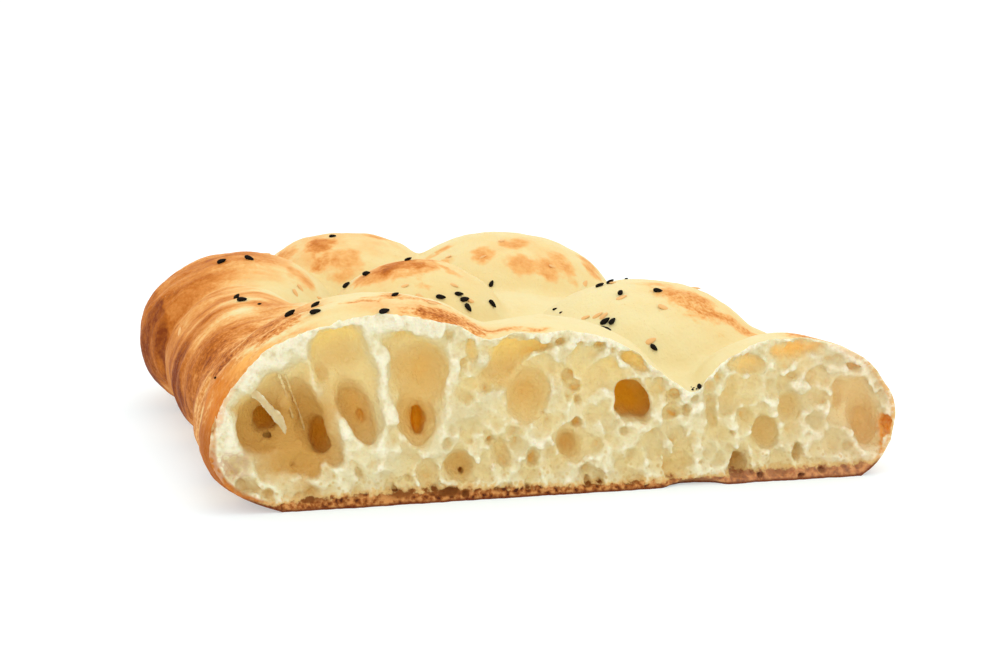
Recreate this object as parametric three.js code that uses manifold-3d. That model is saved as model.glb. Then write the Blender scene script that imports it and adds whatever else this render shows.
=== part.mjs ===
// A cut piece of Turkish-style oven flatbread: soft dough dimpled by hand into pillows, rounded at
// its baked edges, flat underneath, and cut straight across at the front, where its open crumb shows.
// Millimetres, +Z up, the cut face towards -Y, the origin under the middle of the bread.
import * as THREE from 'three';
import { mergeVertices } from 'three/addons/utils/BufferGeometryUtils.js';
import Module from 'manifold-3d';

const wasm = await Module();
wasm.setup();

// Driving dimensions
const LENGTH = 186; // from the cut face to the back edge
const CUT_Y = -LENGTH / 2;
const SLAB_TOP = 35; // the dough between the pillows
const EDGE_HEIGHT = 16; // how high the bread's edge stands where it is widest
const VALLEY_SOFTNESS = 2.6; // how wide the dough rounds where two pillows meet
const TUCK_LEFT = 15; // how far the underside draws in below the edge, at the left and right ends
const TUCK_RIGHT = 8;
const HALF_WIDTH = 100;
const CENTRE = { x: 0, y: -5 }; // where the outline is measured from
const SPOKES = 144; // directions in which the outline is measured
const TOP_NET = 40; // squares along each side of the net that covers the top
const UNDER_RINGS = 4;
const OUTLINE_SOFTENINGS = 6; // how often neighbouring directions are averaged

// The dough swells into pillows between the finger dimples. x runs from the middle of the bread and
// y back from the cut face. Each rises to its top, and square sets how boxy it is from above.
const PILLOWS = [
  { name: 'slab', x: 0, y: 84, rx: 90, ry: 94, top: SLAB_TOP, turn: 8, square: 2.7 },
  { name: 'front left', x: -42, y: 6, rx: 46.5, ry: 36, top: 51.3, turn: 0, square: 2.2 },
  { name: 'front middle', x: 1.5, y: 4, rx: 39.5, ry: 34, top: 45, turn: 0, square: 2.2 },
  { name: 'front right', x: 69, y: 0, rx: 32, ry: 36, top: 40.3, turn: 0, square: 2.1 },
  { name: 'left edge', x: -57.5, y: 56, rx: 31, ry: 34, top: 43, turn: 0, square: 2.1 },
  { name: 'left corner', x: -69, y: 115, rx: 31.5, ry: 34, top: 47, turn: 0, square: 2.1 },
  { name: 'back left', x: -34, y: 150, rx: 34.5, ry: 36, top: 46, turn: 0, square: 2.1 },
  { name: 'back right', x: 22.5, y: 143, rx: 38, ry: 38, top: 45.8, turn: 0, square: 2.1 },
  { name: 'middle', x: -26.5, y: 86, rx: 29, ry: 28, top: 45.5, turn: 0, square: 2.1 },
  { name: 'right', x: 38.5, y: 53, rx: 42, ry: 33, top: 45.8, turn: -8, square: 2.1 },
  { name: 'right edge', x: 62, y: 48, rx: 28, ry: 36, top: 34, turn: 0, square: 2.1 },
];

// The gas bubbles that the knife opened: x from the middle and z up on the cut face, the width and
// height of the mouth, the depth into the crumb, and the lean of its long way from upright.
const BUBBLES = [
  { x: -71.5, z: 19.5, w: 15, h: 20, deep: 15, lean: 8 },
  { x: -63.5, z: 24, w: 13, h: 24, deep: 17, lean: 10 },
  { x: -53, z: 40, w: 13, h: 13, deep: 13, lean: 8 },
  { x: -48, z: 25.5, w: 9, h: 24, deep: 13, lean: 20 },
  { x: -31.5, z: 36, w: 18, h: 21, deep: 16, lean: 0 },
  { x: -32.5, z: 23, w: 12, h: 18, deep: 17, lean: 8 },
  { x: -9.5, z: 37.5, w: 9, h: 13, deep: 9, lean: 0 },
  { x: -3.5, z: 28, w: 13, h: 17, deep: 6, lean: 0 },
  { x: 4.5, z: 33, w: 4, h: 9, deep: 4, lean: 0 },
  { x: 11.5, z: 36, w: 5, h: 8, deep: 6, lean: 5 },
  { x: 17, z: 31.5, w: 10, h: 10, deep: 5, lean: 0 },
  { x: -29.5, z: 6.8, w: 5, h: 7, deep: 6, lean: 20 },
  { x: -20.5, z: 10, w: 9.5, h: 11, deep: 9, lean: 0 },
  { x: -14.5, z: 10, w: 3, h: 7, deep: 4, lean: 10 },
  { x: -9.5, z: 11.5, w: 6, h: 9, deep: 7, lean: 15 },
  { x: -1, z: 9.5, w: 4, h: 6.5, deep: 4, lean: 0 },
  { x: 10.5, z: 14.5, w: 9, h: 10, deep: 7, lean: 0 },
  { x: 18, z: 20.5, w: 5, h: 7, deep: 5, lean: 10 },
  { x: 26, z: 23.7, w: 10, h: 11.5, deep: 18, lean: 0 },
  { x: 25.5, z: 8.3, w: 4, h: 5.5, deep: 4, lean: 15 },
  { x: 31.5, z: 10.3, w: 4.6, h: 8, deep: 5, lean: -12 },
  { x: 36.5, z: 24, w: 5, h: 4, deep: 4, lean: 0 },
  { x: 51.5, z: 24, w: 6, h: 10, deep: 6, lean: 20 },
  { x: 57.5, z: 15, w: 3, h: 6, deep: 4, lean: 0 },
  { x: 62.5, z: 14, w: 6, h: 8, deep: 9, lean: 0 },
  { x: 55.5, z: 5.3, w: 5, h: 4.6, deep: 6, lean: 0 },
  { x: 69.5, z: 20.5, w: 8, h: 8, deep: 6, lean: 0 },
  { x: 78, z: 26.5, w: 8, h: 5.5, deep: 6, lean: 0 },
  { x: 84.5, z: 22, w: 6, h: 10, deep: 7, lean: 0 },
  { x: 91.5, z: 15, w: 8.5, h: 18, deep: 9, lean: -5 },
  { x: 72.5, z: 35.3, w: 12, h: 3, deep: 9, lean: 0 },
];
const BUBBLE_FACETS = 2;
const MOUTH = 0.3; // how far behind the cut face a bubble's centre lies, of its depth radius

const radians = THREE.MathUtils.degToRad;

// How far (x, y) is out from a pillow's centre: 1 on the pillow's edge
function reach(pillow, x, y) {
  const turn = radians(pillow.turn);
  const dx = x - pillow.x;
  const dy = y - CUT_Y - pillow.y;
  const u = (dx * Math.cos(turn) + dy * Math.sin(turn)) / pillow.rx;
  const v = (dy * Math.cos(turn) - dx * Math.sin(turn)) / pillow.ry;
  return Math.abs(u) ** pillow.square + Math.abs(v) ** pillow.square;
}

// The dough's top: all pillows together, each a dome, rounded where they meet
function topHeight(x, y) {
  const domes = PILLOWS.map((pillow) => {
    const rise = Math.sqrt(Math.max(0, 1 - reach(pillow, x, y)));
    return EDGE_HEIGHT + (pillow.top - EDGE_HEIGHT) * rise;
  });
  const highest = Math.max(...domes);
  const shares = domes.map((z) => Math.exp((z - highest) / VALLEY_SOFTNESS));
  return highest + VALLEY_SOFTNESS * Math.log(shares.reduce((sum, share) => sum + share, 0));
}

// The bread's edge seen from above: the farthest place on each spoke that a pillow still covers
function edgeRadii() {
  const longest = 160;
  const step = 0.2;
  const raw = Array.from({ length: SPOKES }, (_, spoke) => {
    const angle = (2 * Math.PI * spoke) / SPOKES;
    for (let radius = longest; radius > 0; radius -= step) {
      const x = CENTRE.x + radius * Math.cos(angle);
      const y = CENTRE.y + radius * Math.sin(angle);
      if (PILLOWS.some((pillow) => reach(pillow, x, y) < 1)) return radius;
    }
    return 0;
  });
  const soften = (radii) => radii.map((radius, spoke) => {
    const before = radii[(spoke + SPOKES - 1) % SPOKES];
    const after = radii[(spoke + 1) % SPOKES];
    return (before + 2 * radius + after) / 4;
  });
  return Array.from({ length: OUTLINE_SOFTENINGS }).reduce(soften, raw);
}

// A place on the dough seen from above: the square (u, v) from -1 to 1 drawn onto the bread's outline,
// with its lines closer together towards the edge, where the top bends down
function placeOnTop(u, v, radii) {
  const across = u * Math.sqrt(1 - (v * v) / 2);
  const along = v * Math.sqrt(1 - (u * u) / 2);
  const angle = Math.atan2(along, across);
  const share = Math.sin((Math.PI / 2) * Math.min(1, Math.hypot(across, along)));
  const spoke = ((angle / (2 * Math.PI)) * SPOKES + SPOKES) % SPOKES;
  const before = Math.floor(spoke) % SPOKES;
  const radius = THREE.MathUtils.lerp(radii[before], radii[(before + 1) % SPOKES], spoke - Math.floor(spoke));
  return { angle, radius, share };
}

// The whole dough before the cut: a net over the top out to the edge, then rings in below it
function doughGeometry() {
  const radii = edgeRadii();
  const positions = [];
  const faces = [];
  const addVertex = (angle, radius, z) => {
    const x = CENTRE.x + radius * Math.cos(angle);
    const y = CENTRE.y + radius * Math.sin(angle);
    positions.push(x, y, z === undefined ? topHeight(x, y) : z);
    return positions.length / 3 - 1;
  };
  const addQuad = (a, b, c, d) => faces.push(a, b, c, a, c, d);

  const side = TOP_NET + 1;
  for (let row = 0; row < side; row += 1) {
    for (let column = 0; column < side; column += 1) {
      const place = placeOnTop((2 * column) / TOP_NET - 1, (2 * row) / TOP_NET - 1, radii);
      addVertex(place.angle, place.radius * place.share);
    }
  }
  for (let row = 0; row < TOP_NET; row += 1) {
    for (let column = 0; column < TOP_NET; column += 1) {
      const corner = row * side + column;
      addQuad(corner, corner + 1, corner + side + 1, corner + side);
    }
  }

  const rim = [];
  for (let i = 0; i < TOP_NET; i += 1) rim.push(i);
  for (let i = 0; i < TOP_NET; i += 1) rim.push(i * side + TOP_NET);
  for (let i = TOP_NET; i > 0; i -= 1) rim.push(TOP_NET * side + i);
  for (let i = TOP_NET; i > 0; i -= 1) rim.push(i * side);
  let above = rim;
  for (let ring = 1; ring <= UNDER_RINGS; ring += 1) {
    const bend = (Math.PI / 2) * (ring / UNDER_RINGS);
    const below = rim.map((corner) => {
      const x = positions[3 * corner] - CENTRE.x;
      const y = positions[3 * corner + 1] - CENTRE.y;
      const leftToRight = THREE.MathUtils.clamp(0.5 + x / (2 * HALF_WIDTH), 0, 1);
      const tuck = THREE.MathUtils.lerp(TUCK_LEFT, TUCK_RIGHT, leftToRight) * (1 - Math.cos(bend));
      const z = positions[3 * corner + 2] * (1 - Math.sin(bend));
      return addVertex(Math.atan2(y, x), Math.hypot(x, y) - tuck, z);
    });
    above.forEach((corner, i) => {
      const next = (i + 1) % rim.length;
      addQuad(below[i], below[next], above[next], corner);
    });
    above = below;
  }
  const middle = addVertex(0, 0, 0);
  above.forEach((corner, i) => faces.push(middle, above[(i + 1) % rim.length], corner));

  const geometry = new THREE.BufferGeometry();
  geometry.setAttribute('position', new THREE.Float32BufferAttribute(positions, 3));
  geometry.setIndex(faces);
  return geometry;
}

// One gas bubble: a ball drawn out to the mouth's size, uneven, leaning, just behind the cut face
function bubbleGeometry(bubble, index) {
  const ball = new THREE.IcosahedronGeometry(1, BUBBLE_FACETS);
  ball.deleteAttribute('normal');
  ball.deleteAttribute('uv');
  const geometry = mergeVertices(ball, 1e-4);
  const unevenness = 0.07;
  const points = geometry.getAttribute('position');
  const point = new THREE.Vector3();
  for (let i = 0; i < points.count; i += 1) {
    point.fromBufferAttribute(points, i);
    const swell = Math.sin(3 * point.x + 1.7 * index) * Math.cos(2.5 * point.z + index);
    points.setXYZ(i, ...point.multiplyScalar(1 + unevenness * swell));
  }
  const widen = 1 / Math.sqrt(1 - MOUTH ** 2);
  const depthRadius = bubble.deep / (1 + MOUTH);
  geometry.scale((bubble.w / 2) * widen, depthRadius, (bubble.h / 2) * widen);
  geometry.rotateY(radians(-bubble.lean));
  geometry.translate(bubble.x, CUT_Y + MOUTH * depthRadius, bubble.z);
  return geometry;
}

function solidOf(geometry) {
  return new wasm.Manifold(new wasm.Mesh({
    numProp: 3,
    vertProperties: Float32Array.from(geometry.getAttribute('position').array),
    triVerts: Uint32Array.from(geometry.getIndex().array),
  }));
}

function geometryOf(solid) {
  const mesh = solid.getMesh();
  const geometry = new THREE.BufferGeometry();
  geometry.setAttribute('position', new THREE.BufferAttribute(mesh.vertProperties, 3));
  geometry.setIndex(new THREE.BufferAttribute(mesh.triVerts, 1));
  return geometry;
}

// What the knife took away: a block in front of the cut face
function knifeGeometry() {
  const size = 400;
  const block = new THREE.BoxGeometry(size, size, size);
  block.deleteAttribute('normal');
  block.deleteAttribute('uv');
  block.translate(0, CUT_Y - size / 2, 0);
  return mergeVertices(block);
}

function breadGeometry() {
  let bread = solidOf(doughGeometry()).subtract(solidOf(knifeGeometry()));
  BUBBLES.forEach((bubble, index) => {
    bread = bread.subtract(solidOf(bubbleGeometry(bubble, index)));
  });
  const geometry = geometryOf(bread);
  geometry.computeBoundingBox();
  const box = geometry.boundingBox;
  geometry.translate(-(box.min.x + box.max.x) / 2, -(box.min.y + box.max.y) / 2, -box.min.z);
  geometry.computeVertexNormals();
  return geometry;
}

const crust = new THREE.MeshStandardMaterial({ color: 0xe8c98a, roughness: 0.72, metalness: 0 });
const bread = new THREE.Mesh(breadGeometry(), crust);
bread.name = 'bread';

const flatbread = new THREE.Group();
flatbread.add(bread);
export default flatbread;
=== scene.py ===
import math
import random

import bmesh
import bpy
import numpy as np
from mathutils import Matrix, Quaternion, Vector
from mathutils import noise as perlin
from mathutils.bvhtree import BVHTree


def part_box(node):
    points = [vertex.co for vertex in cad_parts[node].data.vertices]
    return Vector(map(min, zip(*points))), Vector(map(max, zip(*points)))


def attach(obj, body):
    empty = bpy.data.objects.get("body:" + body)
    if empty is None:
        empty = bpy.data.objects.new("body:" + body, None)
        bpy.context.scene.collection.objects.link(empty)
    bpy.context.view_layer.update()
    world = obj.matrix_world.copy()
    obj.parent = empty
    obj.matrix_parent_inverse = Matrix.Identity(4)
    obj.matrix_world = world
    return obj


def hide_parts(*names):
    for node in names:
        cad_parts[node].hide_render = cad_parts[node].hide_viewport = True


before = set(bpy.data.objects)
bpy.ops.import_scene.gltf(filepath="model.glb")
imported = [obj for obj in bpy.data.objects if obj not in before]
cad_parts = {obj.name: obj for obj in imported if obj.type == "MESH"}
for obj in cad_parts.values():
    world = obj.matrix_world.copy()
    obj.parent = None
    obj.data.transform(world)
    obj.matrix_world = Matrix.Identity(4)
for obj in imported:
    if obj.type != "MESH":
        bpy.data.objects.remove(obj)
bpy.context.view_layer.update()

# ---------------------------------------------------------------- camera
# A long lens a little to the left of the cut face and a little above it, level from side to side.
MM = 0.001
cut_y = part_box("bread")[0].y
bpy.ops.object.camera_add(
    location=(-107.9 * MM, cut_y - 473.0 * MM, 156.4 * MM),
    rotation=(math.radians(90 - 13), 0, math.radians(-11.65)))
camera = bpy.context.object
camera.data.sensor_width = 36
camera.data.lens = 68.8
camera.data.clip_start = 0.01
bpy.context.scene.camera = camera

# ---------------------------------------------------------------- dough
# The baked dough before the knife: soft pillows between the baker's finger dimples, each one a ball
# flattened where it lies, all run together into one smooth body with a rounded edge. Places are in
# millimetres: x from the middle of the bread, y back from the cut face, z up from the table.
EDGE_HEIGHT = 16
PILLOWS = {
    # name: x, y, half width, half length, top, turn, how far the underside draws in, widest height
    "front left": (-42, 14, 46.5, 42, 53.4, 0, 15),
    "front middle": (1.5, 9, 39.5, 40, 46, 0, 12),
    "front shoulder": (30, 6, 16, 30, 31.5, 0, 6),
    "front right": (69.8, 0, 28.8, 36, 40.3, 0, 11),
    "right shoulder": (84, 4, 16.5, 32, 31, 0, 9),
    "left flank": (-60, 32, 29, 30, 41, 0, 15),
    "left edge": (-57.5, 56, 31, 34, 43, 0, 15),
    "left side": (-69.5, 72, 23.5, 60, 42.5, 6, 15, 19),
    "left corner": (-69, 115, 31.5, 34, 47.3, 0, 15, 21),
    "back left": (-32, 150, 34.5, 36, 46.2, 0, 14),
    "back right": (19.5, 143, 39.5, 38, 45.6, 0, 12),
    "middle": (-19, 86, 33, 27, 48.3, 0, 12),
    "right": (42.5, 53, 38.5, 33, 45.9, -8, 10),
    "right edge": (62, 48, 28, 36, 34, 0, 8),
    "well": (6, 98, 52, 46, 33.5, 0, 12),
}
SLAB_LOW = (-84, -20, 0)
SLAB_HIGH = (90, 168, 26)
SLAB_CORNER = 52
SLAB_RIM = 12
SPARE = 5


def pick(*pieces):
    """Selects these pieces alone and makes the first the active one."""
    bpy.ops.object.select_all(action="DESELECT")
    for piece in pieces:
        piece.select_set(True)
    bpy.context.view_layer.objects.active = pieces[0]


def finish_with(piece, name, kind, **settings):
    """Adds a modifier with these settings to the piece and applies it."""
    modifier = piece.modifiers.new(name, kind)
    for key, value in settings.items():
        setattr(modifier, key, value)
    pick(piece)
    bpy.ops.object.modifier_apply(modifier=name)


def run_together(piece, size):
    """Makes all the piece is built of into one skin with cells of that many millimetres."""
    finish_with(piece, "run together", "REMESH", mode="VOXEL", voxel_size=size * MM)


def soften(piece, rounds, **where):
    """Smooths the piece that many times, all of it or one vertex group."""
    finish_with(piece, "soften", "SMOOTH", factor=0.5, iterations=rounds, **where)


def roughen(piece, size, height, coords="GLOBAL", **where):
    """Pushes the surface in and out, that many millimetres in all, by clouds of that size."""
    clouds = bpy.data.textures.new("clouds", "CLOUDS")
    clouds.noise_scale = size * MM
    clouds.noise_depth = 2
    finish_with(piece, "roughen", "DISPLACE", texture=clouds, strength=height * MM, mid_level=0.5,
                texture_coords=coords, **where)


def join(pieces, name):
    """Joins the pieces into one object of that name, with its place in its mesh."""
    pick(*pieces)
    bpy.ops.object.join()
    joined = bpy.context.object
    joined.name = name
    joined.data.name = name
    bpy.ops.object.transform_apply(location=True, rotation=True, scale=True)
    return joined


def edit():
    """Goes into edit mode with all of the active piece selected."""
    bpy.ops.object.mode_set(mode="EDIT")
    bpy.ops.mesh.select_all(action="SELECT")


def place_at(x, y, z):
    """A place on the bread in metres, from millimetres: x from its middle, y from the cut, z up."""
    return Vector((x * MM, cut_y + y * MM, z * MM))


def select_below(piece, height):
    """Selects those points of the piece being edited that lie below that height."""
    bpy.ops.mesh.select_all(action="DESELECT")
    net = bmesh.from_edit_mesh(piece.data)
    for vertex in net.verts:
        vertex.select = vertex.co.z < height
    net.select_flush_mode()
    bmesh.update_edit_mesh(piece.data)


def pillow(x, y, half_width, half_length, top, turn, tuck, widest=EDGE_HEIGHT):
    """One swelling of the dough: a ball with its lower half squashed and cut flat at the table."""
    centre = place_at(x, y, widest)
    rise = (top - widest) * MM
    bpy.ops.mesh.primitive_uv_sphere_add(
        segments=64, ring_count=32, radius=1, location=centre,
        scale=(half_width * MM, half_length * MM, rise), rotation=(0, 0, math.radians(turn)))
    ball = bpy.context.object
    bpy.ops.object.transform_apply(location=True, rotation=True, scale=True)
    foot_share = 1 - tuck / min(half_width, half_length)
    below = widest * MM / math.sqrt(1 - foot_share ** 2)
    edit()
    select_below(ball, widest * MM - 1e-6)
    bpy.ops.transform.resize(value=(1, 1, below / rise), center_override=centre)
    bpy.ops.mesh.select_all(action="SELECT")
    bpy.ops.mesh.bisect(plane_co=(0, 0, 0), plane_no=(0, 0, -1), clear_outer=True, use_fill=True)
    bpy.ops.object.mode_set(mode="OBJECT")
    return ball


def slab(low, high, corner, rim):
    """The dough under the pillows: a block with round corners seen from above and a round rim."""
    low, high = (Vector((x, cut_y / MM + y, z)) * MM for x, y, z in (low, high))
    bpy.ops.mesh.primitive_cube_add(size=1, location=(low + high) / 2, scale=high - low)
    block = bpy.context.object
    bpy.ops.object.transform_apply(location=True, rotation=True, scale=True)
    edit()
    for radius, upright in ((corner, True), (rim, False)):
        bpy.ops.mesh.select_all(action="DESELECT")
        bpy.ops.mesh.select_mode(type="EDGE")
        net = bmesh.from_edit_mesh(block.data)
        for edge in net.edges:
            rise = abs(edge.verts[0].co.z - edge.verts[1].co.z)
            edge.select = rise > MM if upright else rise < MM and edge.calc_face_angle() > 1
        bmesh.update_edit_mesh(block.data)
        bpy.ops.mesh.bevel(offset=radius * MM, segments=12, affect="EDGES")
    bpy.ops.object.mode_set(mode="OBJECT")
    return block


def weigh(piece, name, weight_at):
    """A vertex group whose weights follow a function of the place in millimetres, y from the cut."""
    group = piece.vertex_groups.new(name=name)
    for vertex in piece.data.vertices:
        x, y, z = vertex.co
        weight = weight_at(x / MM, (y - cut_y) / MM, z / MM)
        group.add([vertex.index], min(max(weight, 0), 1), "REPLACE")


swellings = [pillow(*sizes) for sizes in PILLOWS.values()]
swellings.append(slab(SLAB_LOW, SLAB_HIGH, SLAB_CORNER, SLAB_RIM))
dough = join(swellings, "dough")
run_together(dough, 1.5)
soften(dough, 12)

# It rose unevenly, and its left side was pulled in and set in long folds alongside the cut.
weigh(dough, "risen", lambda x, y, z: (z - 1) / 8)
weigh(dough, "left side", lambda x, y, z: (-52 - x) / 22 * min((z - 1) / 8, 1))
roughen(dough, 26, 2.4, vertex_group="risen")
roughen(dough, 8, 0.8, vertex_group="risen")
bpy.ops.object.empty_add(location=(0, cut_y, 0))
fold_guide = bpy.context.object
fold_guide.scale = (4, 1, 4)
bpy.context.view_layer.update()
roughen(dough, 7, 2.2, "OBJECT", texture_coords_object=fold_guide, vertex_group="left side")
bpy.data.objects.remove(fold_guide)
dough.vertex_groups.clear()
finish_with(dough, "thin out", "DECIMATE", ratio=0.5)

edit()
bpy.ops.mesh.bisect(plane_co=place_at(0, -SPARE, 0), plane_no=(0, -1, 0), clear_outer=True, use_fill=True)
select_below(dough, 0.5 * MM)
bpy.ops.transform.resize(value=(1, 1, 0), center_override=(0, 0, 0))
bpy.ops.object.mode_set(mode="OBJECT")
crust_net = BVHTree.FromObject(dough, bpy.context.evaluated_depsgraph_get())

# ---------------------------------------------------------------- crumb
# What the knife and the gas took out of the dough: three tall caves at the left with thin leaning
# walls between them, torn hollows further right and fine pores everywhere. They are run together
# into one cutter, softened and roughened like torn crumb, and taken out of the dough.
CAVES = {
    # name: how deep, and the outline of the mouth as (x, z)
    "left cave": (4, (
        (-79.4, 27.6), (-78.5, 29.6), (-76.2, 30.6), (-74.2, 31.8), (-73.3, 33.6), (-72.3, 35.4),
        (-69.7, 36.6), (-66.6, 37.5), (-65.6, 38.7), (-64.8, 40), (-62.7, 40.7), (-60.7, 40.1),
        (-59.7, 38.2), (-59.4, 35), (-59.3, 31.8), (-58.5, 28.5), (-57.6, 25.5), (-56.6, 22.5), (-55.9, 19),
        (-56, 16), (-55, 13.3), (-56.6, 11.7), (-59.5, 10.6), (-62.9, 9.4), (-66.3, 8.3), (-69.4, 7.9),
        (-72.7, 9.5), (-75.5, 12.4), (-77.2, 15.7), (-78.6, 19.5), (-79.5, 23.6))),
    "second cave": (5, (
        (-59.6, 43.7), (-59, 46.3), (-57.7, 47.8), (-55.6, 48.5), (-51.7, 48.8), (-47.9, 48.7),
        (-46.3, 47.5), (-45.8, 44.3), (-44.8, 41.7), (-43.1, 38.4), (-42.1, 34.9), (-41.6, 30.8),
        (-40.9, 26.8), (-40.6, 22.7), (-41.2, 18.7), (-42.2, 15.8), (-44, 14.6), (-46.1, 15.2),
        (-48.3, 17.8), (-50.3, 21.4), (-52, 25.5), (-53.2, 28.8), (-54.6, 30.7), (-56.5, 32), (-58, 33.5),
        (-59, 36.6), (-59.7, 40.3))),
    "third cave": (5, (
        (-39.6, 32.1), (-38.9, 36.1), (-37.6, 39.2), (-39.4, 42.2), (-42, 44), (-43.2, 46), (-40.1, 47),
        (-36.2, 46.4), (-32.3, 45.2), (-28.4, 44.6), (-25.3, 43.5), (-24, 41.2), (-24, 36.6), (-24.6, 31.3),
        (-24.4, 27.2), (-24.8, 23.2), (-26.2, 19.2), (-28.2, 15.8), (-29.8, 13), (-31.8, 15), (-35.1, 19.2),
        (-37.1, 23.1), (-38.6, 27.5))),
    "window": (7, (
        (-13, 34), (-13, 37.5), (-12.5, 40.5), (-11.5, 42), (-10, 43.5), (-8.5, 44), (-4.5, 43.5),
        (-0.5, 43), (2, 42), (5, 41.5), (5, 40), (2, 39.5), (-1.5, 39), (-4, 37), (-6, 35), (-8, 32.5),
        (-9.5, 30.5), (-10.5, 29.5), (-12.5, 30.5), (-14, 29), (-16, 30.5), (-16, 32.5), (-15, 34.5))),
    "broad hollow": (3, (
        (-8.5, 32.5), (-6.5, 34.5), (-4, 35.5), (-2, 36.5), (1, 37.5), (2.5, 36), (3.5, 32.5), (4, 30),
        (4, 25.5), (3, 22.5), (1, 20.5), (-2.5, 19), (-6, 19), (-8.5, 20.5), (-10, 23.5), (-9.5, 28))),
    "round hollow": (4, (
        (-25.5, 10.5), (-24, 13), (-22, 15), (-20, 16), (-18.5, 14.5), (-17.5, 11.5), (-16.5, 8.5), (-16, 6),
        (-17, 4.5), (-20.5, 4), (-23.5, 5.5), (-25, 7.5))),
    "torn hollow": (6, (
        (-14, 16.5), (-12.5, 16.5), (-11.5, 15.5), (-10.5, 17), (-9.5, 17.5), (-8, 15.5), (-7, 12),
        (-6.5, 10), (-8, 7.5), (-9, 7), (-10.5, 9), (-12, 11.5), (-12.5, 13.5))),
    "dark hole": (13, (
        (21.5, 28), (22, 29), (23.5, 30), (25.5, 30), (28, 30), (29, 28), (30, 26), (31, 23.5), (31.5, 21.5),
        (30.5, 20), (30.5, 17.5), (28.5, 19), (25.5, 19.5), (23, 20), (21, 21.5), (21, 23.5), (22, 24.5),
        (21.5, 26.5))),
    "hollow beside the dark hole": (4.5, (
        (11.5, 29.5), (12, 32.5), (14.5, 34.5), (16.5, 36.5), (18.5, 37), (20.5, 36), (22, 34), (22, 31),
        (20.5, 28.5), (17, 28.5), (15, 26.5), (12.5, 26.5))),
    "hollow below it": (4, (
        (16, 21), (16.5, 24), (18.5, 25), (20, 25), (20, 22), (20, 19.5), (19, 18), (17, 19))),
    "hollow over the base": (4.5, (
        (5, 17), (7, 18.5), (9.5, 19.5), (12, 18.5), (13.5, 16.5), (14.5, 14), (14, 11), (12, 9), (9, 8.5),
        (7, 10), (5.5, 13))),
    "torn hollow, right": (7, (
        (59.5, 14), (60.5, 15.5), (61.5, 17), (61.5, 18.5), (62.5, 19), (63.5, 18), (64.5, 18), (66, 16.5),
        (66.5, 14.5), (67.5, 12.5), (67, 10), (65.5, 8), (63, 9), (61.5, 10), (60, 12))),
    "right cave, left part": (6.5, (
        (82.5, 25.5), (82.5, 27.5), (84, 28.5), (86, 28), (87.5, 27), (88, 24.5), (87.5, 21.5), (87, 19),
        (86, 18), (84, 18), (83, 19.5), (84, 21.5), (83, 24))),
    "right cave": (7, (
        (89, 26), (89.5, 27.5), (91, 28.5), (91.5, 27.5), (92.5, 25.5), (94, 23.5), (95.5, 20.5),
        (96.5, 17.5), (97, 13.5), (96.5, 10.5), (95, 9), (92, 7), (90.5, 6.5), (90, 9.5), (89.5, 12),
        (87.5, 14), (87, 16), (88, 19.5), (89, 22.5))),
    "right window": (4.5, (
        (63.5, 35.6), (65.5, 38.4), (68.5, 39.3), (71.5, 39.5), (74.5, 39.4), (78, 38.7), (80, 37.2),
        (77, 35.8), (73, 34.9), (70, 34), (68.5, 33.2), (66, 34))),
}
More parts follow.
